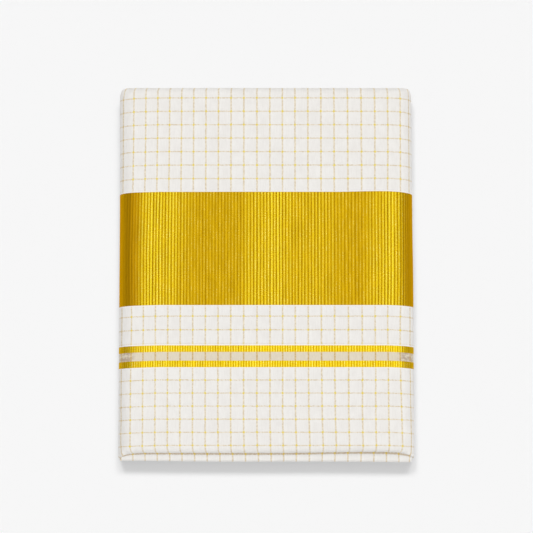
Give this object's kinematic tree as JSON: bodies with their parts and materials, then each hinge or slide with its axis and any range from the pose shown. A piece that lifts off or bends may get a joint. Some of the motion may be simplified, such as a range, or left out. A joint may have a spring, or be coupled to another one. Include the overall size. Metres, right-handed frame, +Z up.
{
  "type": "folded dhoti cloth",
  "caption": "White cotton dhoti cloth with gold zari bands and a fine gold check, folded flat into a rectangular pack with rounded sides.",
  "frame": {"origin": "middle of the flat underside that the folded cloth rests on", "axes": "+X across the pack from left to right in the picture, +Y from the front end, where the inner folds stand out, to the back end, +Z up"},
  "size_m": [0.2506, 0.318, 0.0233],
  "materials": {
    "zari_cotton": "matt white cotton with a pale gold check and ribbed metallic gold bands",
    "plain_cotton": "matt white cotton with a pale gold check"
  },
  "bodies": {
    "root": {"outer_wrap": "zari_cotton", "inner_folds": "plain_cotton"}
  },
  "joints": []
}
